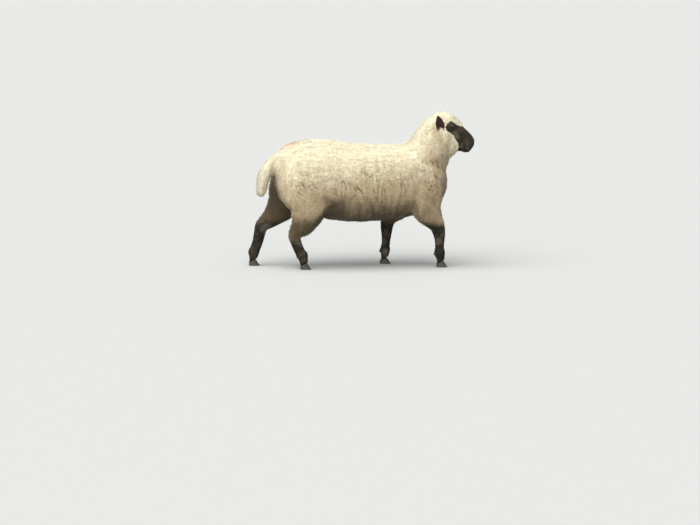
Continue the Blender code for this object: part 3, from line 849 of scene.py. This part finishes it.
def parted(tree, place, weights):
    """1 in the cracks of the fleece, 0 between them; the same in the coat and in its paint."""
    shares = add(tree, "ShaderNodeSeparateXYZ", {0: weights}).outputs
    wander = wandering(tree, place, 14.0, 2.0)
    deepest = None
    for number, (slant, *cell, waviness) in enumerate(PARTINGS):
        turn = {"Vector": place, "Angle": math.radians(slant)}
        turned = add(tree, "ShaderNodeVectorRotate", turn, rotation_type="Y_AXIS")
        cells = vector_total(tree, "MULTIPLY", turned, tuple(1 / size for size in cell))
        waved = vector_total(tree, "MULTIPLY", wander, (waviness * 2,) * 3)
        waved = vector_total(tree, "ADD", cells, waved)
        cell_map = {"Vector": waved, "Scale": 1.0}
        edge = add(tree, "ShaderNodeTexVoronoi", cell_map, feature="DISTANCE_TO_EDGE")
        near_edge = mapped(tree, edge, 0.0, PARTING_HALF, 1.0, 0.0)
        opened = times(tree, near_edge, total(tree, "MINIMUM", shares[number], 1.0))
        deepest = opened if deepest is None else total(tree, "MAXIMUM", deepest, opened)
    breaks = noise(tree, place, PARTING_BREAKS, 1.0)
    return times(tree, deepest, mapped(tree, breaks, 0.40, 0.52))


HALF_LOCK = 0.8
half_lock = scaled(carried_vector("lie"), times(coat, carried("length"), HALF_LOCK))
parting = parted(coat, vector_sum("ADD", where, half_lock), carried_vector("partings"))
STAPLES_PER_METRE = 88
STAPLE_WANDER = 0.02
wander = scaled(wandering(coat, where, 14.0, 2.0), STAPLE_WANDER)
staple = {"Vector": vector_sum("ADD", where, wander), "Scale": STAPLES_PER_METRE}
staple_edge = add(coat, "ShaderNodeTexVoronoi", staple, feature="DISTANCE_TO_EDGE")
staple_centre = add(coat, "ShaderNodeTexVoronoi", staple, feature="F1").outputs["Position"]
to_centre = vector_sum("SUBTRACT", staple_centre, staple["Vector"])
staple_gap = mapped(coat, staple_edge, 0.0, 0.16, 1.0, 0.0)
parting = total(coat, "MAXIMUM", parting, times(coat, staple_gap, given["Staple"]))
rooted = stored(roots, "tone", random_value(11, 0.0, 1.0), "FLOAT", "POINT")

# How each lock leans: between straight out and along the lie, swayed with its
# neighbours and a little by itself.
SHARED_SWAY = 2.0
lean = carried("lean")
upright = scaled(carried_vector("outward"), total(coat, "SUBTRACT", 1.0, lean))
lying = scaled(carried_vector("lie"), lean)
shared = scaled(wandering(coat, where, 55.0, 1.0), SHARED_SWAY)
alone = random_value(12, (-0.5, -0.5, -0.5), (0.5, 0.5, 0.5), "FLOAT_VECTOR")
strayed = scaled(vector_sum("ADD", shared, alone), given["Waver"])
gathered = scaled(to_centre, total(coat, "DIVIDE", given["Gather"], carried("length")))
leaning = vector_sum("ADD", vector_sum("ADD", upright, lying), strayed)
leaning = vector_sum("ADD", leaning, gathered)
stood = add(coat, "FunctionNodeAlignRotationToVector", {"Vector": leaning}, axis="Z")
turned = add(
    coat, "FunctionNodeAlignRotationToVector",
    {"Rotation": stood, "Vector": vector_sum("ADD", carried_vector("lie"), alone)}, axis="X",
    pivot_axis="Z",
)
PARTING_DROP = 0.85
kept = total(coat, "SUBTRACT", 1.0, times(coat, parting, PARTING_DROP))
long = times(coat, times(coat, carried("length"), random_value(13, 0.82, 1.12)), kept)
long = times(coat, long, given["Length"])
wide = times(coat, carried("length"), random_value(14, 0.75, 1.25))
wide = times(coat, wide, given["Width"])
sized = add(coat, "ShaderNodeCombineXYZ", {0: wide, 1: wide, 2: long})
box = {"Collection": given["Locks"], "Separate Children": True, "Reset Children": True}
grown = add(
    coat,
    "GeometryNodeInstanceOnPoints",
    {
        "Points": rooted, "Instance": add(coat, "GeometryNodeCollectionInfo", box),
        "Pick Instance": True, "Instance Index": random_value(15, 0, 30, "INT"), "Rotation": turned,
        "Scale": sized,
    },
)
grown = add(coat, "GeometryNodeRealizeInstances", {"Geometry": grown})
patch = scaled(carried_vector("patch"), TUFT_PATCH)
patched = vector_sum("ADD", carried_vector("root_place"), patch)
grown = stored(grown, "OFBake", patched, "FLOAT2", "CORNER")
for name in ("patch", "root_place", "lie", "cover", "length", "lean"):
    grown = add(coat, "GeometryNodeRemoveAttribute", {"Geometry": grown, "Name": name})
grown = add(coat, "GeometryNodeSetShadeSmooth", {"Geometry": grown})
grown = add(coat, "GeometryNodeSetMaterial", {"Geometry": grown, "Material": given["Finish"]})
add(coat, "NodeGroupOutput", {"Coat": grown})


# Locks take most of their shading from the body under them, as wool does.
NORMAL_MIX = 0.75


def grow_both(name, base, slot, start, end, **sizes):
    """The coat between two places along the body, in a piece for each side."""
    for side_name, side in SIDES.items():
        low, high = (start, min(side, 0), -1), (end, max(side, 0), 2)
        grow(f"{name}_{side_name}", base, slot, Low=low, High=high, **sizes)


def grow(name, base, slot, **sizes):
    """A piece of coat grown on a skin whose points say where, how long and how leaning."""
    piece = new_object(name, base)
    growth = piece.modifiers.new("coat", "NODES")
    growth.node_group = coat
    for item in coat.interface.items_tree:
        if item.in_out == "INPUT" and item.name in sizes:
            growth[item.identifier] = sizes[item.name]
    work_in(piece)
    body = vectors_in(piece.data.attributes["outward"].data, "vector")
    mixed = body * NORMAL_MIX + normals_of(piece.data) * (1 - NORMAL_MIX)
    piece.data.normals_split_custom_set_from_vertices(unit(mixed))
    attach(piece, "root")


# ---------------- markings
# The same markings lie on the skin and on the coat over it: cream wool that greys with
# dirt and painted shade and darkens with painted shade in its partings and folds, and
# black-brown hair with paler patches.
def shader_group(name, inputs, outputs):
    group = bpy.data.node_groups.new(name, "ShaderNodeTree")
    for way, sockets in (("INPUT", inputs), ("OUTPUT", outputs)):
        for title, kind in sockets.items():
            group.interface.new_socket(title, in_out=way, socket_type=f"NodeSocket{kind}")
    return group, add(group, "NodeGroupInput").outputs


def blended(tree, share, first, second, mode="MIX"):
    colours = {"Factor": share, "A": first, "B": second}
    return add(tree, "ShaderNodeMix", colours, data_type="RGBA", blend_type=mode).outputs[2]


def shaded(tree, colour, value):
    return add(tree, "ShaderNodeHueSaturation", {"Value": value, "Color": colour}).outputs[0]


def stepped(tree, value, low, high, start=0.0, end=1.0):
    return mapped(tree, value, low, high, start, end, "SMOOTHSTEP")


def object_place(tree):
    return add(tree, "ShaderNodeTexCoord").outputs["Object"]


def attribute(tree, name, output="Fac"):
    return add(tree, "ShaderNodeAttribute", attribute_name=name).outputs[output]


def used(tree, group, **values):
    made = tree.nodes.new("ShaderNodeGroup")
    made.node_tree = group
    for title, value in values.items():
        connect(tree, value, made.inputs[title.replace("_", " ")])
    return made.outputs


tree, given = shader_group("patch", {"Place": "Vector", "Size": "Float"}, {"Mask": "Float"})
spot = object_place(tree)
ragged = times(tree, total(tree, "SUBTRACT", noise(tree, spot, 90.0), 0.5), 1.5)
away = vector_total(tree, "DISTANCE", spot, given["Place"]).outputs["Value"]
away = total(tree, "ADD", total(tree, "DIVIDE", away, given["Size"]), ragged)
add(tree, "NodeGroupOutput", {"Mask": stepped(tree, away, 0.6, 1.2, 1.0, 0.0)})
patch_paint = tree

# Cream wool turns tan, then dark brown, with dirt and painted shade together; the darkest colour is
# painted shade in the fleece's partings and the body's folds.
WOOL_CREAM = (0.98, 0.89, 0.64, 1)
WOOL_TAN = (0.70, 0.54, 0.34, 1)
WOOL_SOILED_AND_SHADED = (0.140, 0.105, 0.058, 1)
WOOL_PARTING_SHADE = (0.085, 0.062, 0.042, 1)
RADDLE = (0.80, 0.50, 0.42, 1)
RADDLE_PLACE = (-0.40, 0.0, 0.70)
PAINTED = {"Color": "Color", "Height": "Float"}
WOOL_INPUTS = {"Grime": "Float", "Fold": "Float", "Partings": "Vector", "Tone": "Float"}
tree, given = shader_group("wool", WOOL_INPUTS, PAINTED)
spot = object_place(tree)
drawn_down = vector_total(tree, "MULTIPLY", spot, (34, 12, 7))
cloud = total(tree, "ADD", noise(tree, spot, 9.0), noise(tree, drawn_down, 1.0))
cloud = times(tree, total(tree, "SUBTRACT", cloud, 1.0), 0.50)
dirt_and_shade = total(tree, "ADD", given["Grime"], cloud)
wool_colour = blended(tree, stepped(tree, dirt_and_shade, 0.0, 0.45), WOOL_CREAM, WOOL_TAN)
wool_colour = blended(tree, stepped(tree, dirt_and_shade, 0.35, 1.0), wool_colour, WOOL_SOILED_AND_SHADED)
raddled = used(tree, patch_paint, Place=RADDLE_PLACE, Size=0.07)["Mask"]
wool_colour = blended(tree, times(tree, raddled, 0.45), wool_colour, RADDLE, "MULTIPLY")
# Painted shade: the partings and the body's folds are darkened almost to black-brown.
opened = times(tree, parted(tree, spot, given["Partings"]), 0.85)
opened = total(tree, "MAXIMUM", opened, given["Fold"])
wool_colour = blended(tree, opened, wool_colour, WOOL_PARTING_SHADE)
mottle = stepped(tree, noise(tree, spot, 70.0, 2.0), 0.3, 0.7, 0.85, 1.07)
shade = times(tree, stepped(tree, given["Tone"], 0.0, 1.0, 0.92, 1.04), mottle)
wool_colour = shaded(tree, wool_colour, shade)
add(tree, "NodeGroupOutput", {"Color": wool_colour, "Height": noise(tree, spot, 260.0)})
wool_paint = tree

HAIR_BLACK = (0.0125, 0.0095, 0.0050, 1)
HAIR_BROWN = (0.048, 0.034, 0.017, 1)
HAIR_GREY = (0.150, 0.125, 0.095, 1)
HAIR_RUST = (0.060, 0.027, 0.017, 1)
SKIN_PINK = (0.15, 0.092, 0.072, 1)
PALE_PATCHES = [
    # places in the head's axes (along, across, up) and size, in mm, and strength
    ((36, 50, 12), 22, 0.40),
    ((60, 48, 4), 16, 0.22),
    ((108, 40, -30), 12, 0.60),
    ((142, 34, -14), 11, 0.30),
]
LEG_PATCHES = [
    # place and size, in mm, and strength: fetlocks, hocks, knees and pasterns
    ((-345, -120, 60), 20, 0.9),
    ((-352, -118, 95), 22, 0.5),
    ((-360, -125, 165), 35, 0.5),
    ((-530, 95, 215), 35, 0.6),
    ((418, -125, 150), 24, 0.35),
    ((440, -120, 190), 20, 0.3),
    ((150, 85, 70), 22, 0.6),
    ((140, 85, 130), 22, 0.4),
]
HAIR_INPUTS = {"Tone": "Float", "Ear Hollow": "Float", "Bare": "Float"}
tree, given = shader_group("short_hair", HAIR_INPUTS, PAINTED)
spot = object_place(tree)
brown = stepped(tree, noise(tree, spot, 28.0), 0.42, 0.68)
hair_colour = blended(tree, brown, HAIR_BLACK, HAIR_BROWN)
grey_hairs = stepped(tree, noise(tree, spot, 420.0, 1.0), 0.60, 0.72, 0.0, 0.12)
hair_colour = blended(tree, grey_hairs, hair_colour, HAIR_GREY)
patches = [
    (from_head(np.array((a, side * c, u)) / 1000) * 1000, size, much)
    for (a, c, u), size, much in PALE_PATCHES
    for side in SIDES.values()
]
for place, size, much in patches + LEG_PATCHES:
    mask = used(tree, patch_paint, Place=np.array(place) / 1000, Size=size / 1000)["Mask"]
    hair_colour = blended(tree, times(tree, mask, much), hair_colour, HAIR_GREY)
hollow = times(tree, given["Ear Hollow"], 0.7)
hair_colour = blended(tree, hollow, hair_colour, HAIR_RUST)
hair_colour = blended(tree, given["Bare"], hair_colour, SKIN_PINK)
hair_colour = shaded(tree, hair_colour, stepped(tree, given["Tone"], 0.0, 1.0, 0.55, 1.6))
add(tree, "NodeGroupOutput", {"Color": hair_colour, "Height": noise(tree, spot, 700.0, 2.0)})
hair_paint = tree


def fibres(tree):
    """Fine lines that run along each lock."""
    place = vector_total(tree, "MULTIPLY", attribute(tree, "strand", "Vector"), (5, 5, 1))
    own = times(tree, attribute(tree, "tone"), 60.0)
    place = vector_total(tree, "ADD", place, own)
    return noise(tree, place, 1.5, 2.0).outputs[0]


def dress(tree, shader, colour, height, rise):
    tree.links.new(colour, shader.inputs["Base Color"])
    bump = add(tree, "ShaderNodeBump", {"Height": height, "Distance": rise, "Strength": 0.8})
    tree.links.new(bump.outputs[0], shader.inputs["Normal"])


def wool_seen(tree, tone):
    carried_in = {"Grime": attribute(tree, "grime"), "Fold": attribute(tree, "fold")}
    partings = attribute(tree, "partings", "Vector")
    return used(tree, wool_paint, Partings=partings, Tone=tone, **carried_in)


def hair_seen(tree, tone):
    carried_in = {"Ear_Hollow": attribute(tree, "ear_hollow"), "Bare": attribute(tree, "bare")}
    return used(tree, hair_paint, Tone=tone, **carried_in)


fleece, tree, shader = finish("fleece", 0.95, 0.15, 0.2)
seen = wool_seen(tree, attribute(tree, "tone"))
# Each lock darkens towards its root: part grease and dirt, part painted shade deep in the fleece.
root_dirt_and_shade = stepped(tree, attribute(tree, "along"), 0.0, 0.6, 0.88, 1.0)
dress(tree, shader, shaded(tree, seen["Color"], root_dirt_and_shade), fibres(tree), 0.0012)

short_hair, tree, shader = finish("short_hair", 0.55, 0.0, 0.2)
seen = hair_seen(tree, attribute(tree, "tone"))
dress(tree, shader, seen["Color"], fibres(tree), 0.0004)

hide, tree, shader = finish("hide", 0.70, 0.0, 0.3)
under_wool = wool_seen(tree, 0.5)
under_hair = hair_seen(tree, 0.45)
woolly = attribute(tree, "wool")
hide_colour = blended(tree, woolly, under_hair["Color"], under_wool["Color"])
wool_height = times(tree, under_wool["Height"], times(tree, woolly, 8.0))
hide_height = total(tree, "ADD", under_hair["Height"], wool_height)
dress(tree, shader, hide_colour, hide_height.outputs[0], 0.0005)
skin.data.materials.append(hide)

# ---------------- fleece
# Dense short Down wool lying in small curled locks, cream where it is clean and greyer
# below with dirt and painted shade. It is cut in pieces only to keep each mesh small.
WISP_SPACING = 0.0027
LENGTH_LIMITS = (0.005, 0.030)
EAR_CLIP = 0.55
WOOL_LEAN = 0.50
FLEECE_BANDS = [-0.80, -0.42, -0.28, -0.12, 0.05, 0.22, 0.36, 0.46, 0.80]
HEAD_BAND = 7
HEAD_CLOSER = 0.75
LUMP_SCALES = (24, 62)
BODY_LUMPS = 0.30
HEAD_LUMPS = 0.50
base = skin.data.copy()
give(base, "cover", ramp(wool, 0.05, 0.35))
give(base, "lean", np.full(len(wool), WOOL_LEAN))
lumps = np.array([sum(unevenness.noise(Vector(p) * f) for f in LUMP_SCALES) for p in places])
lumps *= np.where(woolly_head, HEAD_LUMPS, BODY_LUMPS)
clipped = 1 - EAR_CLIP * (1 - near_ear)
give(base, "length", np.clip(room, *LENGTH_LIMITS) * (1 + lumps) * clipped)
WISP_SHAPE = {"Width": 0.27, "Length": 1.60, "Waver": 0.40, "Staple": 0.20, "Gather": 0.35}
for number, (start, end) in enumerate(zip(FLEECE_BANDS, FLEECE_BANDS[1:])):
    closer = HEAD_CLOSER if number == HEAD_BAND else 1
    own_sizes = {"Locks": wisps, "Spacing": WISP_SPACING * closer, "Seed": number, "Finish": fleece}
    grow_both(f"wisps_{number}", base, "fleece", start, end, **own_sizes, **WISP_SHAPE)

# ---------------- short hair
# The face, ears and lower legs have short flat hair: finest on the face and shortest on
# the muzzle, longer on the ears and longest on the legs.
HAIR_AREAS = {
    # name: kind of flesh, slot, spacing, width for length, lengths: least and most
    "face_hair": ("head", "face_and_cap", 0.0015, 0.26, 0.0034),
    "ear_hair": ("ear", "ear_hair", 0.0018, 0.22, 0.0060),
    "leg_hair": ("leg", "leg_hair", 0.0022, 0.20, 0.0080),
}
HAIR_LEAN = 0.91
TUFT_SHAPE = {"Length": 1.0, "Waver": 0.12, "Staple": 0.0, "Gather": 0.0, "Seed": 40}
on_ball = np.zeros(len(places), bool)
for centre in eye_centres.values():
    on_ball |= np.linalg.norm(places - np.array(centre), axis=1) < EYE_RADIUS + 0.0006
local = in_head(places)
muzzle = ramp(local[:, 0], 0.100, 0.150)
for name, (kind, slot, spacing, width, length) in HAIR_AREAS.items():
    base = skin.data.copy()
    own = (owner_kind == kind) & ~on_ball
    give(base, "cover", own * (1 - ramp(wool, 0.35, 0.75)) * (1 - bare))
    give(base, "lean", np.full(len(wool), HAIR_LEAN))
    give(base, "length", length * (1 - 0.45 * muzzle * (kind == "head")))
    own_sizes = {"Locks": tufts, "Spacing": spacing, "Width": width, "Finish": short_hair}
    grow_both(name, base, slot, -1, 1, **own_sizes, **TUFT_SHAPE)
for box in (wisps, tufts):
    for shape in list(box.objects):
        bpy.data.objects.remove(shape)

# ---------------- eyes
# A dark amber eye with the level oblong pupil of a sheep, wet under a clear front.
# Each ball is turned so that its pupil lies level and looks out between the lids.
IRIS = 0.0098
CORNEA_RISE = 0.0011
PUPIL_HALF = (0.0042, 0.0016)
PUPIL_POWERS = (4.0, 2.0)
PUPIL_BLACK = (0.004, 0.004, 0.005, 1)
EYE_AMBER = (0.085, 0.040, 0.013, 1)
EYE_EDGE = (0.014, 0.008, 0.005, 1)
EYE_WHITE = (0.035, 0.024, 0.019, 1)
for side_name, side in SIDES.items():
    mirror = np.array((1, side, 1))
    out = Vector(from_head(np.array(EYE_OUT) * mirror)) - head_centre
    flat = (level - out * level.dot(out)).normalized()
    axes = Matrix((flat, out.cross(flat), out)).transposed()
    ball = bmesh.new()
    bmesh.ops.create_uvsphere(ball, u_segments=48, v_segments=32, radius=EYE_RADIUS)
    for v in ball.verts:
        across_iris = math.hypot(v.co.x, v.co.y)
        if v.co.z > 0 and across_iris < IRIS:
            v.co *= 1 + CORNEA_RISE / EYE_RADIUS * (1 - (across_iris / IRIS) ** 2)
    ball.transform(Matrix.Translation(eye_centres[side_name]) @ axes.to_4x4())
    eye = new_object(f"eyeball_{side_name}", mesh_from(ball, f"eyeball_{side_name}"))
    eye.data.shade_smooth()
    wet, tree, shader = finish(f"wet_eye_{side_name}", 0.12, 0.0, 0.3)
    shader.inputs["Coat Weight"].default_value = 0.3
    shader.inputs["Coat Roughness"].default_value = 0.03
    turn = axes.transposed().to_euler()
    centre = axes.transposed() @ eye_centres[side_name]
    own_place = add(
        tree, "ShaderNodeMapping",
        {"Vector": object_place(tree), "Location": tuple(-centre), "Rotation": tuple(turn)},
    )
    parts = add(tree, "ShaderNodeSeparateXYZ", {0: own_place}).outputs
    oblong = 0.0
    for part, half, power in zip(parts, PUPIL_HALF, PUPIL_POWERS):
        size = total(tree, "ABSOLUTE", total(tree, "DIVIDE", part, half))
        oblong = total(tree, "ADD", oblong, total(tree, "POWER", size, power))
    pupil = stepped(tree, oblong, 0.7, 1.3, 1.0, 0.0)
    off_axis = vector_total(tree, "MULTIPLY", own_place, (1, 1, 0))
    reach_out = vector_total(tree, "LENGTH", off_axis).outputs["Value"]
    streaks = noise(tree, own_place, 500.0, 2.0)
    amber = blended(tree, streaks, EYE_EDGE, EYE_AMBER)
    amber = blended(tree, stepped(tree, reach_out, IRIS * 0.7, IRIS), amber, EYE_EDGE)
    amber = blended(tree, stepped(tree, reach_out, IRIS, IRIS * 1.2), amber, EYE_WHITE)
    amber = blended(tree, pupil, amber, PUPIL_BLACK)
    tree.links.new(amber, shader.inputs["Base Color"])
    eye.data.materials.append(wet)
    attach(eye, "root")
    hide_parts(f"eye_{side_name}")

# ---------------- claws
# Two horn claws to each foot and two dewclaws behind the fetlock: rounded walls with
# fine rings of growth, flat soles, dull and dark, scuffed paler towards the ground.
CLAW_VOXEL = {"claw": 0.0013, "dewclaw": 0.0009}
CLAW_ROUNDS = {"claw": 12, "dewclaw": 8}
RING_STEP = 0.0042
RING_RISE = 0.00022
SOLE_FLAT = 0.0014
HORN_DARK = (0.030, 0.024, 0.019, 1)
HORN_PALE = (0.110, 0.085, 0.060, 1)
horn, tree, shader = finish("horn", 0.50)
spot = object_place(tree)
streaks = vector_total(tree, "MULTIPLY", spot, (420, 420, 40))
streaks = noise(tree, streaks, 1.0, 3.0)
scuff = noise(tree, spot, 150.0, 4.0)
height = add(tree, "ShaderNodeSeparateXYZ", {0: spot}).outputs[2]
worn = times(tree, stepped(tree, height, 0.0, 0.024, 1.0, 0.25), scuff)
horn_colour = blended(tree, worn, HORN_DARK, HORN_PALE)
horn_colour = blended(tree, stepped(tree, streaks, 0.5, 0.8, 0.0, 0.35), horn_colour, HORN_PALE)
dress(tree, shader, horn_colour, streaks.outputs[0], 0.0003)
for name in sorted(frame["nodes"]):
    kind = name.split("_")[0]
    if kind not in CLAW_VOXEL:
        continue
    claw = new_object(f"{name}_horn", mesh_from(joined_solid(name), f"{name}_horn"))
    remeshed(claw, CLAW_VOXEL[kind])
    rounded = eased(claw.data, places_of(claw.data), CLAW_ROUNDS[kind])
    put_places(claw.data, rounded)
    turn = rounded[:, 2] / RING_STEP + 0.35 * np.sin(rounded[:, 0] * 160)
    rounded += normals_of(claw.data) * (RING_RISE * np.sin(math.tau * turn))[:, None]
    rounded[:, 2] = np.where(rounded[:, 2] < SOLE_FLAT, 0.0, rounded[:, 2])
    put_places(claw.data, rounded)
    claw.data.shade_smooth()
    claw.data.materials.append(horn)
    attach(claw, "root")
    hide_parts(name)

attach(skin, "root")
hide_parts(*flesh_nodes)
